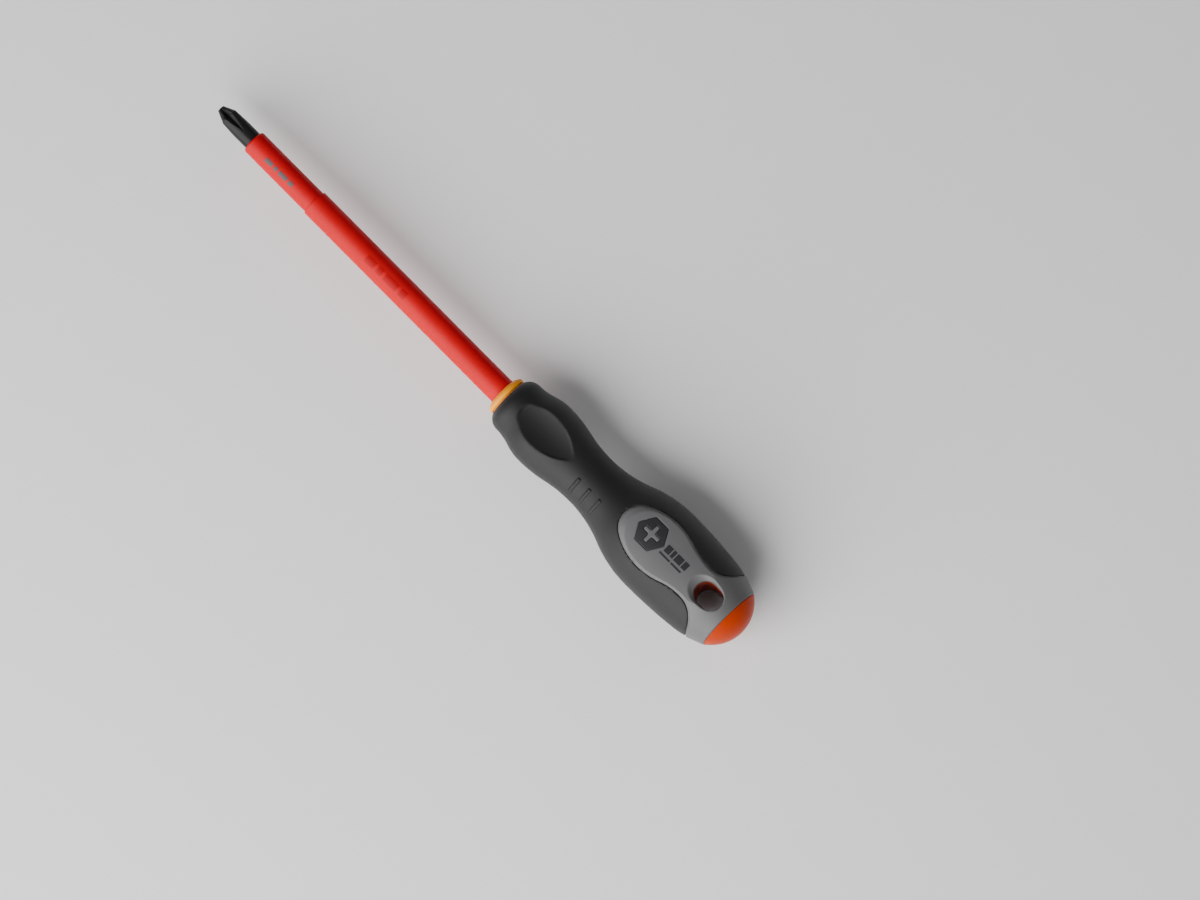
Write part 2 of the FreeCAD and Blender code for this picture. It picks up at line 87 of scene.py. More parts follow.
# plan of the grey panel in millimetres
PANEL_TIP = 65.0
PANEL_NOSE = 8.3
PANEL_WIDE = (82.6, 11.0)
PANEL_NECK = (102.0, 7.6)
PANEL_FLARE = 10.0

# hanging hole and its mouth
HOLE_AT = 109.3
HOLE_HALF = (5.95, 4.65)
MOUTH_DEPTH = 1.6
MOUTH_FRONT = 3.0
MOUTH_REAR = 0.8
MOUTH_SIDE = 1.15

# finger recess
RECESS_START = 10.5
RECESS_NOSE = 6.0
RECESS_WIDE = (20.4, 7.35)
RECESS_END = 38.1
RECESS_FLOOR = 10.4
RECESS_FLOOR_AT = 20.0
RECESS_BOW = 120.0
RECESS_DISH = 20.0


# ---------------------------------------------------------------- outlines

def circle_through(first, last, centre_x):
    """Height of the centre, above a known X, of the circle through two points."""
    squares = last[0] ** 2 + last[1] ** 2 - first[0] ** 2 - first[1] ** 2
    return (squares - 2.0 * centre_x * (last[0] - first[0])) / (2.0 * (last[1] - first[1]))


def arc_points(first, last, centre, spacing=0.6):
    """Points after first up to last on the shorter arc round centre."""
    start = math.atan2(first[1] - centre[1], first[0] - centre[0])
    end = math.atan2(last[1] - centre[1], last[0] - centre[0])
    sweep = (end - start + math.pi) % FULL_TURN - math.pi
    radius = math.hypot(first[0] - centre[0], first[1] - centre[1])
    count = max(3, int(abs(sweep) * radius / spacing), int(math.degrees(abs(sweep)) / 6.0))
    points = []
    for step in range(1, count + 1):
        angle = start + sweep * step / count
        points.append((centre[0] + radius * math.cos(angle), centre[1] + radius * math.sin(angle)))
    points[-1] = last
    return points


def level_arc(first, last, centre_x, spacing=0.6):
    """An arc whose centre stands over or under centre_x."""
    return arc_points(first, last, (centre_x, circle_through(first, last, centre_x)), spacing)


def sweep_between(first, last, spacing=0.6):
    """Two equal arcs, level at both ends."""
    middle = ((first[0] + last[0]) / 2.0, (first[1] + last[1]) / 2.0)
    return (level_arc(first, middle, first[0], spacing)
            + level_arc(middle, last, last[0], spacing))


def straight(first, last, spacing=0.6):
    """Evenly spaced points after first up to last."""
    length = math.hypot(last[0] - first[0], last[1] - first[1])
    count = max(1, int(round(length / spacing)))
    return [(first[0] + (last[0] - first[0]) * step / count,
             first[1] + (last[1] - first[1]) * step / count) for step in range(1, count + 1)]


def raised(station, lift):
    return (station[0], station[1] + lift)


def bend(before, corner, after, count=6):
    """A small smooth bend in place of a corner."""
    points = []
    for step in range(1, count + 1):
        share = step / count
        points.append(tuple((1 - share) ** 2 * a + 2 * share * (1 - share) * b + share ** 2 * c
                            for a, b, c in zip(before, corner, after)))
    return points


def handle_outline(lift=0.0, spacing=0.6):
    """Outside of the handle from the nose to the butt band, as (x, radius)."""
    nose, shoulder, swell, waist, rear, tail = [
        raised(station, lift) for station in (NOSE, SHOULDER, FRONT_SWELL, WAIST, REAR_SWELL, TAIL)]
    band = raised(BAND_END, lift / 4.0)
    points = [nose]
    points += level_arc(nose, shoulder, shoulder[0], spacing / 2.0)
    points += sweep_between(shoulder, swell, spacing)
    points += sweep_between(swell, waist, spacing)
    points += sweep_between(waist, rear, spacing)
    back = level_arc(rear, tail, rear[0], spacing)
    back = [point for point in back if point[0] < tail[0] - TAIL_BEND]
    run = math.hypot(band[0] - tail[0], band[1] - tail[1])
    share = TAIL_BEND / run
    leave = tuple(a + (b - a) * share for a, b in zip(tail, band))
    points += back
    points += bend(back[-1], tail, leave)
    points += straight(leave, band, spacing)
    return points


def radius_at(place, outline):
    """Radius of an outline at one X."""
    for (x0, r0), (x1, r1) in zip(outline, outline[1:]):
        if x0 <= place <= x1:
            return r0 + (r1 - r0) * (place - x0) / max(x1 - x0, 1e-9)
    return outline[-1][1]


def egg_half(tip_x, nose_radius, wide, spacing=0.5):
    """Half of an egg's front from its tip to its widest point, in two tangent arcs."""
    length = wide[0] - tip_x
    flank = ((length ** 2 - 2 * length * nose_radius + wide[1] ** 2)
             / (2 * (wide[1] - nose_radius)))
    nose_x = tip_x + nose_radius
    lean = flank - nose_radius
    touch = (nose_x - nose_radius * (wide[0] - nose_x) / lean,
             nose_radius * (flank - wide[1]) / lean)
    points = [(tip_x, 0.0)]
    points += arc_points((tip_x, 0.0), touch, (nose_x, 0.0), spacing)
    points += arc_points(touch, wide, (wide[0], wide[1] - flank), spacing)
    return points


def mirrored(half):
    """A closed outline from one half that starts on the axis."""
    return half + [(x, -y) for x, y in reversed(half) if abs(y) > 1e-6]


def panel_half(spacing=0.5):
    """The grey panel's edge from its tip to the end of the flare."""
    half = egg_half(PANEL_TIP, PANEL_NOSE, PANEL_WIDE, spacing)
    half += sweep_between(PANEL_WIDE, PANEL_NECK, spacing)
    flare_end = (PANEL_NECK[0] + PANEL_FLARE, PANEL_NECK[1] + PANEL_FLARE)
    half += arc_points(PANEL_NECK, flare_end, (PANEL_NECK[0], flare_end[1]), spacing)
    return half


def long_hole(centre, half_length, half_width, spacing=0.4):
    """Outline of a long hole with round ends."""
    reach = half_length - half_width
    front, rear = centre - reach, centre + reach
    points = arc_points((front, half_width), (front - half_width, 0.0), (front, 0.0), spacing)
    points += arc_points((front - half_width, 0.0), (front, -half_width), (front, 0.0), spacing)
    points += straight((front, -half_width), (rear, -half_width), spacing)
    points += arc_points((rear, -half_width), (rear + half_width, 0.0), (rear, 0.0), spacing)
    points += arc_points((rear + half_width, 0.0), (rear, half_width), (rear, 0.0), spacing)
    points += straight((rear, half_width), (front, half_width), spacing)
    return points


# ---------------------------------------------------------------- modelling steps

def deselect():
    if bpy.context.object and bpy.context.object.mode != "OBJECT":
        bpy.ops.object.mode_set(mode="OBJECT")
    bpy.ops.object.select_all(action="DESELECT")


def pick(piece):
    """Makes one object the only selected and active one."""
    deselect()
    piece.select_set(True)
    bpy.context.view_layer.objects.active = piece
    return piece


def edit_all(piece):
    pick(piece)
    bpy.ops.object.mode_set(mode="EDIT")
    bpy.ops.mesh.select_mode(type="VERT")
    bpy.ops.mesh.select_all(action="SELECT")


def object_mode():
    bpy.ops.object.mode_set(mode="OBJECT")


def draw_path(name, points):
    """Draws a chain of edges by extruding one vertex from point to point; stays in edit mode."""
    deselect()
    start = Vector(points[0])
    bpy.ops.mesh.primitive_plane_add(size=MM, location=(0.0, 0.0, 0.0))
    piece = bpy.context.object
    piece.name = name
    piece.data.name = name
    bpy.ops.object.mode_set(mode="EDIT")
    bpy.ops.mesh.select_mode(type="VERT")
    bpy.ops.mesh.select_all(action="SELECT")
    bpy.ops.mesh.merge(type="CENTER")
    bpy.ops.transform.translate(value=start)
    place = start
    for point in points[1:]:
        target = Vector(point)
        bpy.ops.mesh.extrude_region_move(TRANSFORM_OT_translate={"value": target - place})
        place = target
    bpy.ops.mesh.select_all(action="SELECT")
    return piece


def close_up(piece):
    """Merges doubles and turns the faces outwards; leaves edit mode."""
    bpy.ops.mesh.select_all(action="SELECT")
    bpy.ops.mesh.remove_doubles(threshold=1e-6)
    bpy.ops.mesh.dissolve_degenerate(threshold=1e-7)
    bpy.ops.mesh.select_all(action="SELECT")
    bpy.ops.mesh.normals_make_consistent(inside=False)
    object_mode()
    return piece


def turned(name, profile, steps=160, sweep=FULL_TURN, centre=(0.0, 0.0, 0.0)):
    """Spins a closed (x, radius) profile in millimetres round an axis along X."""
    loop = list(profile)
    if profile[0][1] > 0.0 or profile[-1][1] > 0.0:
        loop.append(profile[0])
    points = [(x * MM + centre[0], r * MM + centre[1], centre[2]) for x, r in loop]
    piece = draw_path(name, points)
    bpy.ops.mesh.spin(steps=steps, angle=sweep, center=centre, axis=(1.0, 0.0, 0.0))
    return close_up(piece)


def prism(name, outline, low, high):
    """Fills a plan outline in millimetres and extrudes it from one height to another."""
    loop = list(outline) + [outline[0]]
    piece = draw_path(name, [(x * MM, y * MM, low * MM) for x, y in loop])
    bpy.ops.mesh.remove_doubles(threshold=1e-6)
    bpy.ops.mesh.select_all(action="SELECT")
    bpy.ops.mesh.edge_face_add()
    bpy.ops.mesh.extrude_region_move(
        TRANSFORM_OT_translate={"value": (0.0, 0.0, (high - low) * MM)})
    return close_up(piece)


def reach_of(piece):
    """Lowest and highest corner of a mesh in its own coordinates."""
    places = [vertex.co for vertex in piece.data.vertices]
    return [[pick_end(place[axis] for place in places) for axis in range(3)]
            for pick_end in (min, max)]


def carve(piece, tool, operation="DIFFERENCE"):
    """Applies one boolean, checks its reach and removes its tool."""
    limit = reach_of(tool)
    pick(piece)
    bpy.ops.object.modifier_add(type="BOOLEAN")
    change = piece.modifiers[-1]
    change.operation = operation
    change.object = tool
    change.solver = "EXACT"
    bpy.ops.object.modifier_apply(modifier=change.name)
    if not piece.data.polygons:
        raise RuntimeError("the cut left nothing of %s" % piece.name)
    if operation == "INTERSECT":
        low, high = reach_of(piece)
        for axis in range(3):
            if low[axis] < limit[0][axis] - 1e-6 or high[axis] > limit[1][axis] + 1e-6:
                raise RuntimeError("%s sticks out of %s" % (piece.name, tool.name))
    bpy.data.objects.remove(tool)
    return piece


def soften(piece, voxel, rounds=4):
    """Rebuilds the surface in even cells and eases its edges, like a moulded part."""
    pick(piece)
    bpy.ops.object.modifier_add(type="REMESH")
    remesh = piece.modifiers[-1]
    remesh.mode = "VOXEL"
    remesh.voxel_size = voxel
    bpy.ops.object.modifier_apply(modifier=remesh.name)
    bpy.ops.object.modifier_add(type="SMOOTH")
    ease = piece.modifiers[-1]
    ease.factor = 0.5
    ease.iterations = rounds
    bpy.ops.object.modifier_apply(modifier=ease.name)
    bpy.ops.object.shade_smooth()
    return piece


def smooth_by_angle(piece, degrees=30.0):
    pick(piece)
    bpy.ops.object.shade_smooth_by_angle(angle=math.radians(degrees))
    return piece


def finish_piece(piece, material, nodes=()):
    """Gives a piece its material and its body, and hides the solids that it stands for."""
    piece.data.materials.clear()
    piece.data.materials.append(material)
    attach(piece, "root")
    if nodes:
        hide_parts(*nodes)
    return piece


# ---------------------------------------------------------------- materials

def new_material(name):
    material = bpy.data.materials.new(name)
    material.use_nodes = True
    shader = material.node_tree.nodes["Principled BSDF"]
    return material, material.node_tree, shader


def noise(tree, scale, detail=4.0, roughness=0.55, stretch=(1.0, 1.0, 1.0)):
    """A noise pattern fixed to the object, stretched along its axes."""
    place = tree.nodes.new("ShaderNodeTexCoord")
    mapping = tree.nodes.new("ShaderNodeMapping")
    mapping.inputs["Scale"].default_value = stretch
    pattern = tree.nodes.new("ShaderNodeTexNoise")
    pattern.inputs["Scale"].default_value = scale
    pattern.inputs["Detail"].default_value = detail
    pattern.inputs["Roughness"].default_value = roughness
    tree.links.new(place.outputs["Object"], mapping.inputs["Vector"])
    tree.links.new(mapping.outputs["Vector"], pattern.inputs["Vector"])
    return pattern


def spread(tree, source, low, high):
    """Maps a 0..1 pattern to a narrower range."""
    scale = tree.nodes.new("ShaderNodeMapRange")
    scale.inputs["From Min"].default_value = 0.3
    scale.inputs["From Max"].default_value = 0.7
    scale.inputs["To Min"].default_value = low
    scale.inputs["To Max"].default_value = high
    tree.links.new(source, scale.inputs["Value"])
    return scale.outputs["Result"]


def grain(tree, shader, pattern, strength, depth):
    """A fine bump made from a pattern."""
    bump = tree.nodes.new("ShaderNodeBump")
    bump.inputs["Strength"].default_value = strength
    bump.inputs["Distance"].default_value = depth
    tree.links.new(pattern.outputs["Fac"], bump.inputs["Height"])
    tree.links.new(bump.outputs["Normal"], shader.inputs["Normal"])
    return bump


def tinted(tree, shader, pattern, colour, change):
    """Varies a colour a little, lighter and darker, with a pattern."""
    ramp = tree.nodes.new("ShaderNodeValToRGB")
    ramp.color_ramp.elements[0].position = 0.3
    ramp.color_ramp.elements[1].position = 0.7
    for element, share in zip(ramp.color_ramp.elements, (1.0 - change, 1.0 + change)):
        element.color = [min(1.0, channel * share) for channel in colour] + [1.0]
    tree.links.new(pattern.outputs["Fac"], ramp.inputs["Fac"])
    tree.links.new(ramp.outputs["Color"], shader.inputs["Base Color"])


def moulded_plastic(name, colour, roughness, grain_scale, grain_strength, change=0.05, glow=0.0,
                    sheen=0.0, spec=0.5):
    """Plastic or rubber: a slight drift of tone, and a fine moulded grain."""
    material, tree, shader = new_material(name)
    drift = noise(tree, 60.0, 3.0)
    tinted(tree, shader, drift, colour, change)
    fine = noise(tree, grain_scale, 3.0, 0.6)
    rough = spread(tree, fine.outputs["Fac"], roughness - 0.04, roughness + 0.05)
    tree.links.new(rough, shader.inputs["Roughness"])
    grain(tree, shader, fine, grain_strength, 0.00004)
    shader.inputs["Specular IOR Level"].default_value = spec
    if glow:
        shader.inputs["Subsurface Weight"].default_value = glow
        shader.inputs["Subsurface Radius"].default_value = (0.002, 0.0008, 0.0004)
        shader.inputs["Subsurface Scale"].default_value = 1.0
    if sheen:
        shader.inputs["Sheen Weight"].default_value = sheen
        shader.inputs["Sheen Roughness"].default_value = 0.5
    return material


def front_painted_light(material, colour):
    """Lets a finish run to a lighter colour at the front collar: painted light on the collar, which
    is the same orange moulding as the rest of the core.
    """
    tree = material.node_tree
    base = tree.nodes["Principled BSDF"].inputs["Base Color"]
    rear = base.links[0].from_socket
    place = tree.nodes.new("ShaderNodeTexCoord")
    parts = tree.nodes.new("ShaderNodeSeparateXYZ")
    reach = tree.nodes.new("ShaderNodeMapRange")
    reach.inputs["From Min"].default_value = 0.01
    reach.inputs["From Max"].default_value = 0.06
    mix = tree.nodes.new("ShaderNodeMixRGB")
    mix.inputs["Color1"].default_value = list(colour) + [1.0]
    tree.links.new(place.outputs["Object"], parts.inputs["Vector"])
    tree.links.new(parts.outputs["X"], reach.inputs["Value"])
    tree.links.new(reach.outputs["Result"], mix.inputs["Fac"])
    tree.links.new(rear, mix.inputs["Color2"])
    tree.links.new(mix.outputs["Color"], base)
    return material


def oxide_steel(name, colour):
    """Blackened steel with faint grinding lines along the rod."""
    material, tree, shader = new_material(name)
    lines = noise(tree, 900.0, 4.0, 0.6, (0.06, 1.0, 1.0))
    tinted(tree, shader, lines, colour, 0.35)
    rough = spread(tree, lines.outputs["Fac"], 0.24, 0.38)
    tree.links.new(rough, shader.inputs["Roughness"])
    grain(tree, shader, lines, 0.25, 0.00002)
    shader.inputs["Metallic"].default_value = 0.1
    shader.inputs["Specular IOR Level"].default_value = 0.14
    return material


def material_for(key):
    """Makes each finish once and shares it after that."""
    made = bpy.data.materials.get(key)
    if made:
        return made
    colours = bpy.context.scene.driver_colours
    if key in ("sleeve_red", "inner_red", "raised_red"):
        return moulded_plastic(key, getattr(colours, key)[:], 0.45, 2500.0, 0.10,
                               change=0.04, glow=0.08, spec=0.14)
    if key == "core_orange":
        core = moulded_plastic(key, colours.core_orange[:], 0.38, 2000.0, 0.06,
                               change=0.04, glow=0.05, spec=0.08)
        # painted light: the collar end of the core gets a lighter, yellower orange than the cap end
        return front_painted_light(core, colours.collar_painted_light[:])
    if key == "shell_grey":
        return moulded_plastic(key, colours.shell_grey[:], 0.45, 3500.0, 0.25,
                               change=0.04, spec=0.4)
    if key == "grip_black":
        return moulded_plastic(key, colours.grip_black[:], 0.62, 3000.0, 0.35,
                               change=0.08, sheen=0.08, spec=0.4)
    if key == "badge_dark":
        return moulded_plastic(key, colours.badge_dark[:], 0.5, 3000.0, 0.2, 0.05)
    if key == "print_grey":
        return moulded_plastic(key, colours.print_grey[:], 0.5, 3000.0, 0.1, 0.05)
    if key == "steel_black":
        return oxide_steel(key, colours.steel_black[:])
    if key == "floor_pale":
        return moulded_plastic(key, colours.floor_pale[:], 0.85, 40.0, 0.02, 0.005)
    raise RuntimeError("no finish named %s" % key)


# ---------------------------------------------------------------- the steel and the sleeves

def round_nose(start, radius, bore, ease):
    """Front of a tube with a rounded outer edge, from the bore outwards."""
    points = [(start, bore), (start, radius - ease)]
    points += arc_points((start, radius - ease), (start + ease, radius),
                         (start + ease, radius - ease), 0.08)
    return points


def build_blade():
    low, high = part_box("blade")
    sizes = bpy.context.scene.driver_sizes
    tip = -150.0
    rod = 3.75
    end = high.x / MM
    flat = 1.5
    cone = 4.6
    profile = [(tip, 0.0)]
    profile += [(tip, flat - 0.25)]
    profile += arc_points((tip, flat - 0.25), (tip + 0.25, flat), (tip + 0.25, flat - 0.25), 0.06)
    profile += straight((tip + 0.25, flat), (tip + cone, rod), 0.3)
    profile += straight((tip + cone, rod), (tip + 20.0, rod), 0.5)
    profile += [(end - 0.8, rod), (end, rod - 0.8), (end, 0.0)]
    blade = turned("cross_tip_blade", profile, 128)
    wheel_at = tip - 2.2
    wheel = 44.0
    root = 1.15
    top = root + 7.0
    half = 7.25
    for quarter in range(4):
        turn = quarter * FULL_TURN / 4.0
        direction = Vector((0.0, math.sin(turn), math.cos(turn)))
        side = Vector((0.0, math.cos(turn), -math.sin(turn)))
        corner = [direction * root, direction * top + side * half, direction * top - side * half]
        loop = [Vector((wheel_at, 0.0, 0.0)) + place for place in corner + corner[:1]]
        cutter = draw_path("flute_wheel", [place * MM for place in loop])
        axle = (Vector((wheel_at, 0.0, 0.0)) + direction * (root + wheel)) * MM
        bpy.ops.mesh.spin(steps=360, angle=FULL_TURN, center=axle, axis=side)
        close_up(cutter)
        carve(blade, cutter)
    edit_all(blade)
    bpy.ops.mesh.select_all(action="DESELECT")
    bpy.ops.mesh.select_mode(type="EDGE")
    bpy.ops.mesh.edges_select_sharp(sharpness=math.radians(25.0))
    bpy.ops.mesh.bevel(offset=sizes.tip_ease, segments=2, affect="EDGES", clamp_overlap=True)
    object_mode()
    smooth_by_angle(blade, 35.0)
    plan = [(52.0, -5.5), (64.0, -5.5), (64.0, 5.5), (52.0, 5.5), (52.0, -5.5)]
    wings = draw_path("tang_wings", [(x * MM, y * MM, -1.2 * MM) for x, y in plan])
    bpy.ops.mesh.remove_doubles(threshold=1e-6)
    bpy.ops.mesh.select_all(action="SELECT")
    bpy.ops.mesh.edge_face_add()
    bpy.ops.mesh.extrude_region_move(TRANSFORM_OT_translate={"value": (0.0, 0.0, 2.4 * MM)})
    close_up(wings)
    carve(blade, wings, "UNION")
    return finish_piece(blade, material_for("steel_black"), ["blade"])


def build_sleeve(node, name, ease, finish):
    low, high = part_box(node)
    radius = high.z / MM
    bore = {"insulation_inner": 3.75, "insulation_outer": 4.85}[node]
    start, end = low.x / MM, high.x / MM
    profile = round_nose(start, radius, bore, ease)
    profile += straight(profile[-1], (end, radius), 2.0)
    profile += [(end, bore)]
    sleeve = turned(name, profile, 128)
    smooth_by_angle(sleeve, 40.0)
    return finish_piece(sleeve, material_for(finish), [node])


# ---------------------------------------------------------------- the handle

def hole_cutter(name, grow=0.0):
    outline = long_hole(HOLE_AT, HOLE_HALF[0] + grow, HOLE_HALF[1] + grow)
    return prism(name, outline, -REACH, REACH)


def build_core():
    profile = [(90.0, 0.0), (90.0, 3.75), (16.0, 3.75), (16.0, 4.85), (12.0, 4.85), (12.0, 5.35),
               (0.0, 5.35), (0.0, 6.2)]
    profile += bend((0.0, 6.2), (0.0, 6.4), (0.12, 6.6), 3)
    profile += straight(profile[-1], (0.95, 7.95), 0.3)
    profile += bend(profile[-1], (1.1, 8.2), (1.45, 8.2), 4)
    profile += straight(profile[-1], (2.35, 8.2), 0.3)
    profile += arc_points((2.35, 8.2), (2.6, 7.95), (2.35, 7.95), 0.08)
    profile += [(2.6, CORE_FRONT)]
    profile += straight((2.6, CORE_FRONT), (50.0, CORE_FRONT), 6.0)
    profile += sweep_between((50.0, CORE_FRONT), (66.0, CORE_REAR), 2.0)
    profile += straight((66.0, CORE_REAR), (98.0, CORE_REAR), 6.0)
    profile += straight((98.0, CORE_REAR), (106.0, CORE_REAR), 1.0)
    profile += straight((106.0, CORE_REAR), (112.0, CORE_TAIL), 1.0)
    profile += straight((112.0, CORE_TAIL), (119.1, CORE_TAIL), 1.0)
    profile += [(119.1, 12.75)]
    profile += arc_points((119.1, 12.75), (119.45, 13.0), (119.48, 12.62), 0.1)
    dome_centre = (119.1 + CAP_END) / 2.0 - 13.1 ** 2 / (2.0 * (CAP_END - 119.1))
    dome = arc_points((119.1, 13.1), (CAP_END, 0.0), (dome_centre, 0.0), 0.5)
    profile += [point for point in dome if point[0] > 119.6]
    core = turned("core_moulding", profile, 192)
    carve(core, hole_cutter("core_hole"))
    smooth_by_angle(core, 32.0)
    return finish_piece(core, material_for("core_orange"), ["handle_core"])


def flare_point(angle, outline):
    """Where the flare's edge crosses the handle's surface at a given turn from +Z."""
    place = 110.0
    for unused in range(60):
        across = radius_at(place, outline) * math.sin(angle)
        drop = PANEL_NECK[1] + PANEL_FLARE - across
        place = PANEL_NECK[0] + math.sqrt(max(0.0, PANEL_FLARE ** 2 - drop ** 2))
    return place


def even_steps(points, count):
    """The same path walked in a number of equal steps."""
    marks = [0.0]
    for first, second in zip(points, points[1:]):
        marks.append(marks[-1] + (second - first).length)
    steps = []
    index = 0
    for step in range(count + 1):
        goal = marks[-1] * step / count
        while index < len(points) - 2 and marks[index + 1] < goal:
            index += 1
        share = (goal - marks[index]) / (marks[index + 1] - marks[index])
        steps.append(points[index].lerp(points[index + 1], share))
    return steps


def edge_quarter(outline):
    """The panel's edge on the surface from its tip to the side of the handle."""
    points = [(x, math.asin(min(1.0, y / radius_at(x, outline))))
              for x, y in panel_half(0.45) if x < 107.0]
    last = points[-1][1]
    for step in range(1, 41):
        angle = last + (math.pi / 2.0 - last) * step / 40.0
        points.append((flare_point(angle, outline), angle))
    return even_steps([Vector((x, radius_at(x, outline) * math.sin(a),
                               radius_at(x, outline) * math.cos(a))) for x, a in points], 64)


def edge_loop(outline):
    """The whole closed edge between grey shell and black grip, in 256 steps."""
    quarter = edge_quarter(outline)
    loop = quarter + [Vector((p.x, p.y, -p.z)) for p in reversed(quarter[:-1])]
    loop += [Vector((p.x, -p.y, -p.z)) for p in quarter[1:]]
    return loop + [Vector((p.x, -p.y, p.z)) for p in reversed(quarter[1:-1])]


def bevel_ring(outline, width):
    """A three-sided ring that follows the panel edge and cuts its bevel."""
    loop = edge_loop(outline)
    total = len(loop)
    deselect()
    bpy.ops.mesh.primitive_torus_add(major_segments=total, minor_segments=3,
                                     major_radius=0.05, minor_radius=0.01)
    ring = bpy.context.object
    ring.name = "panel_bevel_ring"
    places = []
    for index, place in enumerate(loop):
        along = (loop[(index + 1) % total] - loop[index - 1]).normalized()
        outward = Vector((0.0, place.y, place.z)).normalized()
        inward = outward.cross(along).normalized()
        if index == 0 and inward.x < 0.0:
            flip = -1.0
        elif index == 0:
            flip = 1.0
        inward = inward * flip
        low = place - outward * width - inward * 0.05
        high = place + inward * width + outward * 0.02
        out = place + outward * width * 1.2 - inward * 0.6
        places += [low, high, out]
    for vertex, place in zip(ring.data.vertices, places):
        vertex.co = place * MM
    edit_all(ring)
    bpy.ops.mesh.normals_make_consistent(inside=False)
    object_mode()
    return ring


def crown_block(lift):
    """A long block with a gently crowned top and bottom."""
    top = PANEL_TOP + lift
    centre = top - CROWN_RADIUS
    half = [(y, centre + math.sqrt(CROWN_RADIUS ** 2 - y ** 2)) for y in
            [20.0 - 40.0 * step / 80 for step in range(81)]]
    section = half + [(-y, -z) for y, z in half]
    loop = [(58.0 * MM, y * MM, z * MM) for y, z in section]
    piece = draw_path("crown_block", loop + loop[:1])
    bpy.ops.mesh.remove_doubles(threshold=1e-6)
    bpy.ops.mesh.select_all(action="SELECT")
    bpy.ops.mesh.edge_face_add()
    bpy.ops.mesh.extrude_region_move(TRANSFORM_OT_translate={"value": (66.0 * MM, 0.0, 0.0)})
    return close_up(piece)


def grey_zone():
    half = panel_half()
    half += [(half[-1][0], REACH), (BAND_END[0], REACH)]
    return prism("grey_zone", mirrored(half), -REACH, REACH)


def mouth_cutter(side):
    """The funnel that widens the hanging hole towards a panel's face."""
    low_height = PANEL_TOP - MOUTH_DEPTH
    high_height = PANEL_TOP + MOUTH_DEPTH
    reach = (MOUTH_FRONT + MOUTH_REAR) / 2.0
    low = long_hole(HOLE_AT, HOLE_HALF[0], HOLE_HALF[1])
    high = long_hole(HOLE_AT - (MOUTH_FRONT - MOUTH_REAR), HOLE_HALF[0] + 2.0 * reach,
                     HOLE_HALF[1] + 2.0 * MOUTH_SIDE)
    count = min(len(low), len(high))
    piece = draw_path("hole_mouth", [(x * MM, y * MM, low_height * side * MM)
                                     for x, y in low + low[:1]])
    bpy.ops.mesh.remove_doubles(threshold=1e-6)
    bpy.ops.mesh.select_all(action="SELECT")
    bpy.ops.mesh.edge_face_add()
    bpy.ops.mesh.extrude_region_move(
        TRANSFORM_OT_translate={"value": (-(MOUTH_FRONT - MOUTH_REAR) * MM, 0.0,
                                          (high_height - low_height) * side * MM)})
    middle = Vector(((HOLE_AT - MOUTH_FRONT + MOUTH_REAR) * MM, 0.0, 0.0))
    growth = (1.0 + 2.0 * reach / HOLE_HALF[0], 1.0 + 2.0 * MOUTH_SIDE / HOLE_HALF[1], 1.0)
    bpy.ops.transform.resize(value=growth, center_override=middle)
    return close_up(piece)


def build_shell():
    sizes = bpy.context.scene.driver_sizes
    outline = handle_outline(PANEL_PROUD)
    profile = [(60.0, CORE_REAR - 0.6)]
    body = [point for point in outline if point[0] > 60.0]
    profile += [(60.0, body[0][1])] + body[:-1]
    last = body[-1]
    profile += bend((last[0] - 0.35, last[1] + 0.12), last, (last[0], last[1] - 0.4), 4)
    profile += [(BAND_END[0], CORE_TAIL), (112.0, CORE_TAIL), (106.0, CORE_REAR), (66.0, CORE_REAR)]
    shell = turned("grey_panel_shell", profile, 256)
    carve(shell, grey_zone(), "INTERSECT")
    carve(shell, bevel_ring(outline, sizes.panel_bevel / MM))
    carve(shell, crown_block(0.0), "INTERSECT")
    carve(shell, hole_cutter("shell_hole"))
    for side in (1.0, -1.0):
        carve(shell, mouth_cutter(side))
        carve(shell, badge_cutter(side, 0.0))
    soften(shell, sizes.shell_cell, 3)
    return finish_piece(shell, material_for("shell_grey"), ["grey_shell"])


def recess_cutter(side):
    """The almond scoop on one face of the grip."""
    half = egg_half(RECESS_START, RECESS_NOSE, RECESS_WIDE, 0.4)
    half += level_arc(RECESS_WIDE, (RECESS_END, 0.0), RECESS_WIDE[0], 0.4)
    plan = prism("recess_plan", half + [(x, -y) for x, y in reversed(half[1:-1])],
                 0.0 if side > 0 else -REACH, REACH if side > 0 else 0.0)
    front, rear = RECESS_START - 3.0, RECESS_END + 3.0

    def floor(place):
        return RECESS_DISH - (place - RECESS_FLOOR_AT) ** 2 / (2.0 * RECESS_BOW)
    places = [front + (rear - front) * step / 60 for step in range(61)]
    profile = [(front, 0.0)] + [(place, floor(place)) for place in places] + [(rear, 0.0)]
    height = (RECESS_FLOOR + RECESS_DISH) * side * MM
    loop = [(x * MM, 0.0, height - r * side * MM) for x, r in profile + profile[:1]]
    dish = draw_path("recess_dish", loop)
    bpy.ops.mesh.spin(steps=720, angle=FULL_TURN, center=(0.0, 0.0, height), axis=(1.0, 0.0, 0.0))
    close_up(dish)
    return carve(plan, dish, "INTERSECT")


def build_grip():
    sizes = bpy.context.scene.driver_sizes
    outline = handle_outline(0.0)
    profile = [(NOSE[0], CORE_FRONT)] + outline
    profile += [(BAND_END[0], CORE_TAIL), (112.0, CORE_TAIL), (106.0, CORE_REAR), (66.0, CORE_REAR),
                (58.0, 9.95), (50.0, CORE_FRONT)]
    grip = turned("soft_grip", profile, 256)
    carve(grip, grey_zone())
    for side in (1.0, -1.0):
        carve(grip, recess_cutter(side))
    soften(grip, sizes.grip_cell, 4)
    return finish_piece(grip, material_for("grip_black"), ["grip_sleeve"])


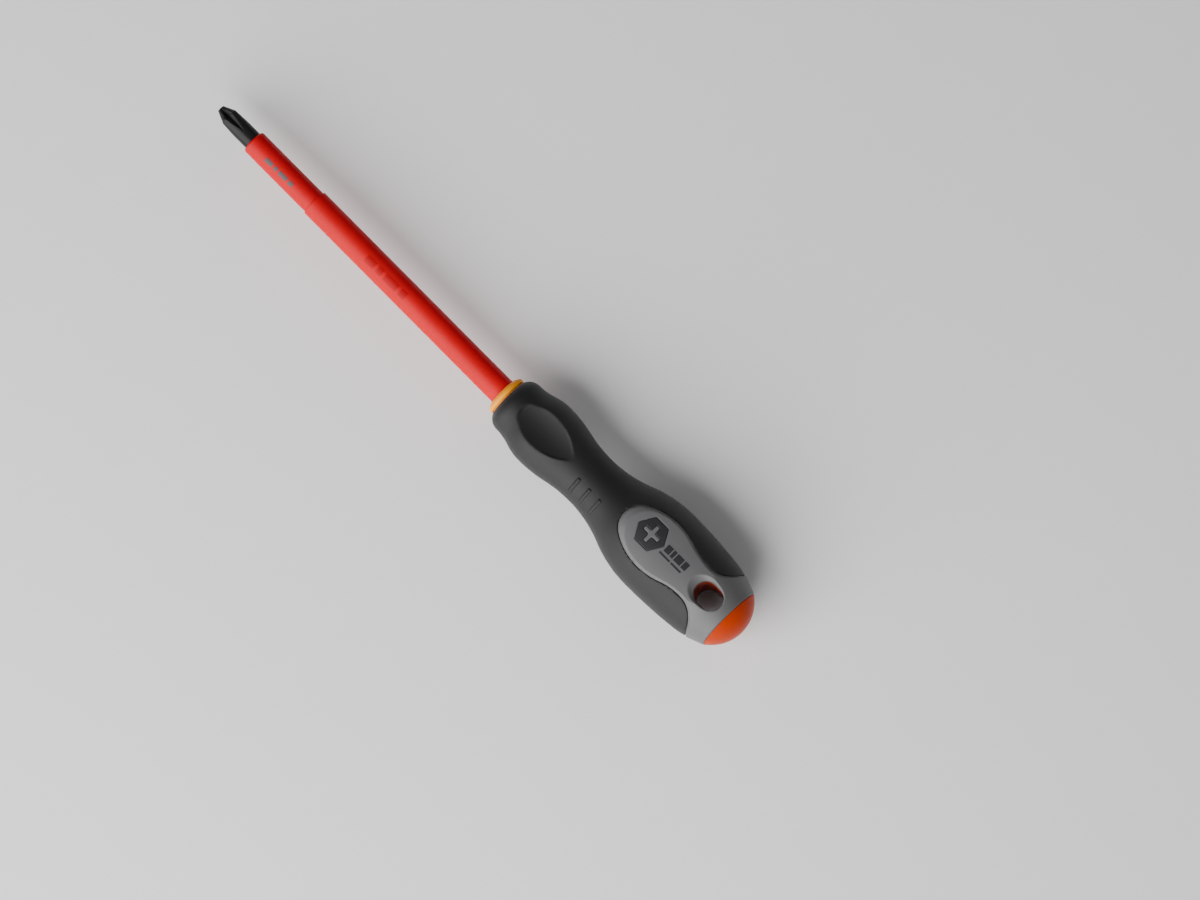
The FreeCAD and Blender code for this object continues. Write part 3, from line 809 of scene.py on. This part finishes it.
def build_ribs():
    """Short rounded ribs on both flanks of the waist."""
    outline = handle_outline(0.0)
    ribs = []
    for base in (90.0, 270.0):
        for number in range(3):
            centre = 44.3 + 5.6 * number
            ground = radius_at(centre, outline)
            section = [(centre + 0.95 * math.cos(turn), ground - 0.35 + 0.8 * math.sin(turn))
                       for turn in [math.pi * step / 12 for step in range(13)]]
            first = math.radians(base + 56.0)
            loop = [(x * MM, r * MM * math.cos(first), r * MM * math.sin(first))
                    for x, r in section + section[:1]]
            rib = draw_path("waist_rib", loop)
            bpy.ops.mesh.remove_doubles(threshold=1e-6)
            bpy.ops.mesh.select_all(action="SELECT")
            bpy.ops.mesh.spin(steps=24, angle=math.radians(40.0), center=(0.0, 0.0, 0.0),
                              axis=(1.0, 0.0, 0.0))
            bpy.ops.mesh.select_all(action="SELECT")
            bpy.ops.mesh.remove_doubles(threshold=1e-6)
            bpy.ops.mesh.fill_holes(sides=0)
            close_up(rib)
            soften(rib, 0.00012, 6)
            finish_piece(rib, material_for("grip_black"))
            ribs.append(rib)
    return ribs


# ---------------------------------------------------------------- badges and marks

BADGE_AT = 78.2
BADGE_SIDE = 1.2
BADGE_RADIUS = 6.5
BADGE_DEPTH = 1.6
CROSS_HALF = 0.85
CROSS_ARM = 3.7


def badge_cutter(side, shrink):
    """A six-sided plate with a cross left open in it."""
    radius = BADGE_RADIUS - shrink
    outline = [(BADGE_AT + radius * math.cos(math.radians(60.0 * step)),
                BADGE_SIDE + radius * math.sin(math.radians(60.0 * step))) for step in range(6)]
    low = PANEL_TOP - BADGE_DEPTH
    high = PANEL_TOP + BADGE_DEPTH
    span = (low, high) if side > 0 else (-high, -low)
    plate = prism("badge_plate", outline, *span)
    half = CROSS_HALF + shrink
    arm = CROSS_ARM + shrink
    along = [(arm, half), (half, half), (half, arm), (-half, arm), (-half, half), (-arm, half)]
    cross = [(BADGE_AT + x, BADGE_SIDE + y) for x, y in along]
    cross += [(BADGE_AT - x, BADGE_SIDE - y) for x, y in along]
    carve(plate, prism("badge_cross", cross, span[0] - 1.0, span[1] + 1.0))
    edit_all(plate)
    bpy.ops.mesh.quads_convert_to_tris()
    object_mode()
    return plate


def build_badges():
    sizes = bpy.context.scene.driver_sizes
    made = []
    for side, node in ((1.0, "badge_upper"), (-1.0, "badge_lower")):
        badge = badge_cutter(side, 0.06)
        lift = PANEL_PROUD + 0.12
        outline = handle_outline(lift)
        body = [point for point in outline if 67.0 < point[0] < 88.0]
        block = turned("badge_ground", [(body[0][0], 0.0)] + body + [(body[-1][0], 0.0)], 256)
        carve(badge, block, "INTERSECT")
        carve(badge, crown_block(0.11), "INTERSECT")
        soften(badge, sizes.badge_cell, 2)
        badge.name = node + "_inlay"
        finish_piece(badge, material_for("badge_dark"), [node])
        made.append(badge)
    return made


PANEL_BARS = ((85.6, 2.6, 1.5, 3.1), (88.7, 1.4, 1.5, 3.1), (90.6, 3.3, 1.5, 3.1),
              (94.4, 2.2, 1.5, 3.1), (84.9, 5.4, -1.4, 0.8), (90.8, 5.2, -1.4, 0.8))


def curved_bar(name, start, end, radius, middle, width, thick, centre=(0.0, 0.0, 0.0)):
    """A thin bar that wraps a cylinder round an axis along X; angles in degrees from +Z."""
    first = math.radians(middle + width / 2.0)
    loop = []
    for x, r in [(start, radius - thick), (start, radius), (end, radius), (end, radius - thick),
                 (start, radius - thick)]:
        loop.append((x * MM, centre[1] - r * MM * math.sin(first),
                     centre[2] + r * MM * math.cos(first)))
    bar = draw_path(name, loop)
    bpy.ops.mesh.remove_doubles(threshold=1e-7)
    bpy.ops.mesh.select_all(action="SELECT")
    bpy.ops.mesh.spin(steps=10, angle=math.radians(width), center=centre, axis=(1.0, 0.0, 0.0))
    bpy.ops.mesh.select_all(action="SELECT")
    bpy.ops.mesh.remove_doubles(threshold=1e-7)
    bpy.ops.mesh.fill_holes(sides=0)
    return close_up(bar)


def build_marks():
    """Plain bars in place of printing: grey on the front sleeve, raised on the long one."""
    made = []
    place = -124.0
    for length in (3.6, 1.6, 4.2, 2.2):
        bar = curved_bar("front_sleeve_mark", place, place + length, 4.87, 20.0, 22.0, 0.05)
        made.append((bar, "print_grey", "badge"))
        place += length + 0.9
    place = -71.0
    for length in (4.5, 2.5, 6.5, 3.0):
        bar = curved_bar("long_sleeve_mark", place, place + length, 5.47, 12.0, 30.0, 0.2)
        made.append((bar, "raised_red", "red_insulation"))
        place += length + 1.4
    for side in (1.0, -1.0):
        centre = (0.0, 0.0, (PANEL_TOP - CROWN_RADIUS) * side * MM)
        base = 0.0 if side > 0 else 180.0
        for start, length, across, width in PANEL_BARS:
            middle = base - math.degrees(across / CROWN_RADIUS) * side
            bar = curved_bar("panel_mark", start, start + length, CROWN_RADIUS + 0.03, middle,
                             math.degrees(width / CROWN_RADIUS), 0.06, centre)
            made.append((bar, "badge_dark", "badge"))
    for bar, finish, slot in made:
        smooth_by_angle(bar, 30.0)
        finish_piece(bar, material_for(finish))
    return made


# ---------------------------------------------------------------- stage

VIEW_WIDTH = 0.4444
VIEW_SHIFT = (0.0359, -0.0213)


def view_axes():
    """Right, up and towards-the-camera directions for the main view."""
    toward = Vector((0.118, -0.058, 0.99)).normalized()
    along = Vector((1.0, 0.0, 0.0))
    along = (along - toward * along.dot(toward)).normalized()
    across = toward.cross(along)
    slope = math.radians(45.15)
    right = along * math.cos(slope) + across * math.sin(slope)
    up = -along * math.sin(slope) + across * math.cos(slope)
    return right, up, toward


def look_matrix(right, up, toward, place):
    turn = Matrix((right, up, toward)).transposed().to_4x4()
    turn.translation = place
    return turn


def soft_lamp(name, place, size, power, aim, shape="RECTANGLE", tall=None):
    deselect()
    bpy.ops.object.light_add(type="AREA", location=place)
    lamp = bpy.context.object
    lamp.name = name
    lamp.data.shape = shape
    lamp.data.size = size
    lamp.data.size_y = tall or size
    lamp.data.energy = power
    direction = Vector(aim) - Vector(place)
    lamp.rotation_euler = direction.to_track_quat("-Z", "Y").to_euler()
    return lamp


def build_stage():
    sizes = bpy.context.scene.driver_sizes
    low = CAD_BOX[0]
    deselect()
    bpy.ops.mesh.primitive_plane_add(size=6.0, location=(0.0, 0.0, low[2] - 0.0002))
    floor = bpy.context.object
    floor.name = "pale_floor"
    floor.data.materials.append(material_for("floor_pale"))

    right, up, toward = view_axes()
    distance = sizes.camera_distance
    target = right * VIEW_SHIFT[0] + up * VIEW_SHIFT[1]
    deselect()
    bpy.ops.object.camera_add()
    camera = bpy.context.object
    camera.name = "main_camera"
    camera.data.sensor_width = 36.0
    camera.data.lens = 36.0 * distance / VIEW_WIDTH
    camera.data.clip_end = 20.0
    camera.matrix_world = look_matrix(right, up, toward, target + toward * distance)
    bpy.context.scene.camera = camera

    handle = (0.02, 0.0, 0.0)
    main = Vector(handle) + (toward - right - up) * 0.7
    soft_lamp("main_softbox", main, 1.6, sizes.lamp_power, handle)
    fill = Vector(handle) + (right * 0.7 + up * 0.5 + toward)
    soft_lamp("fill_softbox", fill, 0.9, sizes.lamp_power * 0.03, handle)

    world = bpy.context.scene.world or bpy.data.worlds.new("studio")
    bpy.context.scene.world = world
    world.use_nodes = True
    back = world.node_tree.nodes["Background"]
    back.inputs["Color"].default_value = (1.0, 1.0, 1.0, 1.0)
    back.inputs["Strength"].default_value = sizes.room_light


# ---------------------------------------------------------------- add-on

class DriverSizes(bpy.types.PropertyGroup):
    """Sizes that a user may change."""

    tip_ease: bpy.props.FloatProperty(
        name="Tip edge", description="Width of the worn edge on the cross tip",
        default=0.00006, min=0.0, max=0.0003, unit="LENGTH", precision=5)
    panel_bevel: bpy.props.FloatProperty(
        name="Panel bevel", description="Width of the bevel round the grey panels",
        default=0.001, min=0.0002, max=0.0015, unit="LENGTH", precision=5)
    shell_cell: bpy.props.FloatProperty(
        name="Shell cell", description="Fineness of the grey shell's surface",
        default=0.00027, min=0.0002, max=0.001, unit="LENGTH", precision=5)
    grip_cell: bpy.props.FloatProperty(
        name="Grip cell", description="Fineness of the soft grip's surface",
        default=0.00042, min=0.0003, max=0.001, unit="LENGTH", precision=5)
    badge_cell: bpy.props.FloatProperty(
        name="Badge cell", description="Fineness of the badge inlays",
        default=0.0001, min=0.00008, max=0.0005, unit="LENGTH", precision=5)
    camera_distance: bpy.props.FloatProperty(
        name="Camera distance", description="Distance from the camera to the tool",
        default=5.0, min=0.5, max=8.0, unit="LENGTH")
    lamp_power: bpy.props.FloatProperty(
        name="Main light", description="Power of the main softbox in watts",
        default=46.0, min=0.0, max=300.0)
    room_light: bpy.props.FloatProperty(
        name="Room light", description="Strength of the even light from the room",
        default=0.15, min=0.0, max=3.0)


def colour_setting(name, description, default):
    return bpy.props.FloatVectorProperty(name=name, description=description, default=default,
                                         size=3, min=0.0, max=1.0, subtype="COLOR")


class DriverColours(bpy.types.PropertyGroup):
    """Colours that a user may change."""

    sleeve_red: colour_setting("Long sleeve", "Red of the long sleeve", (0.60, 0.0, 0.006))
    inner_red: colour_setting("Front sleeve", "Red of the thin front sleeve", (0.58, 0.0, 0.007))
    raised_red: colour_setting("Raised bars", "Red of the long sleeve's bars", (0.45, 0.0, 0.004))
    core_orange: colour_setting("Core", "Orange of hole and cap", (0.47, 0.034, 0.0))
    # painted light: the collar's orange is the core's orange painted lighter and yellower
    collar_painted_light: colour_setting("Collar", "Lighter orange of the collar", (1.0, 0.36, 0.008))
    shell_grey: colour_setting("Shell", "Grey of the panels and band", (0.112, 0.111, 0.114))
    grip_black: colour_setting("Grip", "Black of the soft grip", (0.0050, 0.0050, 0.0052))
    badge_dark: colour_setting("Badge", "Dark tone of the badges", (0.012, 0.012, 0.014))
    print_grey: colour_setting("Print", "Grey of the front sleeve's bars", (0.075, 0.04, 0.042))
    steel_black: colour_setting("Steel", "Tone of the blackened steel", (0.018, 0.017, 0.017))
    floor_pale: colour_setting("Floor", "Tone of the floor", (0.9, 0.9, 0.9))


class DRIVER_OT_blade(bpy.types.Operator):
    """Adds the steel blade with its cross tip"""

    bl_idname = "driver.add_blade"
    bl_label = "Blade"

    def execute(self, context):
        build_blade()
        return {"FINISHED"}


class DRIVER_OT_sleeves(bpy.types.Operator):
    """Adds the two red insulating sleeves"""

    bl_idname = "driver.add_sleeves"
    bl_label = "Sleeves"

    def execute(self, context):
        build_sleeve("insulation_inner", "front_sleeve", 0.9, "inner_red")
        build_sleeve("insulation_outer", "long_sleeve", 0.25, "sleeve_red")
        return {"FINISHED"}


class DRIVER_OT_core(bpy.types.Operator):
    """Adds the orange core with its collar and cap"""

    bl_idname = "driver.add_core"
    bl_label = "Core"

    def execute(self, context):
        build_core()
        return {"FINISHED"}


class DRIVER_OT_shell(bpy.types.Operator):
    """Adds the grey shell with its two panels"""

    bl_idname = "driver.add_shell"
    bl_label = "Grey shell"

    def execute(self, context):
        build_shell()
        return {"FINISHED"}


class DRIVER_OT_grip(bpy.types.Operator):
    """Adds the soft black grip and its ribs"""

    bl_idname = "driver.add_grip"
    bl_label = "Soft grip"

    def execute(self, context):
        build_grip()
        build_ribs()
        return {"FINISHED"}


class DRIVER_OT_badges(bpy.types.Operator):
    """Adds the badges let into the panels"""

    bl_idname = "driver.add_badges"
    bl_label = "Badges"

    def execute(self, context):
        build_badges()
        return {"FINISHED"}


class DRIVER_OT_marks(bpy.types.Operator):
    """Adds the plain bars on sleeves and panels"""

    bl_idname = "driver.add_marks"
    bl_label = "Marks"

    def execute(self, context):
        build_marks()
        return {"FINISHED"}


class DRIVER_OT_stage(bpy.types.Operator):
    """Adds the floor, the lights and the camera"""

    bl_idname = "driver.add_stage"
    bl_label = "Stage"

    def execute(self, context):
        build_stage()
        return {"FINISHED"}


OPERATORS = (DRIVER_OT_blade, DRIVER_OT_sleeves, DRIVER_OT_core, DRIVER_OT_shell, DRIVER_OT_grip,
             DRIVER_OT_badges, DRIVER_OT_marks, DRIVER_OT_stage)


class DRIVER_PT_panel(bpy.types.Panel):
    """Lists the pieces and the settings"""

    bl_idname = "DRIVER_PT_panel"
    bl_label = "Insulated screwdriver"
    bl_space_type = "VIEW_3D"
    bl_region_type = "UI"
    bl_category = "Driver"

    def draw(self, context):
        for operator in OPERATORS:
            self.layout.operator(operator.bl_idname)
        for group in (context.scene.driver_sizes, context.scene.driver_colours):
            for name in group.__annotations__:
                self.layout.prop(group, name)


CLASSES = (DriverSizes, DriverColours, *OPERATORS, DRIVER_PT_panel)


def register():
    for item in CLASSES:
        bpy.utils.register_class(item)
    bpy.types.Scene.driver_sizes = bpy.props.PointerProperty(type=DriverSizes)
    bpy.types.Scene.driver_colours = bpy.props.PointerProperty(type=DriverColours)


def unregister():
    del bpy.types.Scene.driver_colours
    del bpy.types.Scene.driver_sizes
    for item in reversed(CLASSES):
        bpy.utils.unregister_class(item)


def main():
    register()
    for operator in OPERATORS:
        group, name = operator.bl_idname.split(".")
        getattr(getattr(bpy.ops, group), name)()
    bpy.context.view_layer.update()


if __name__ == "__main__":
    main()
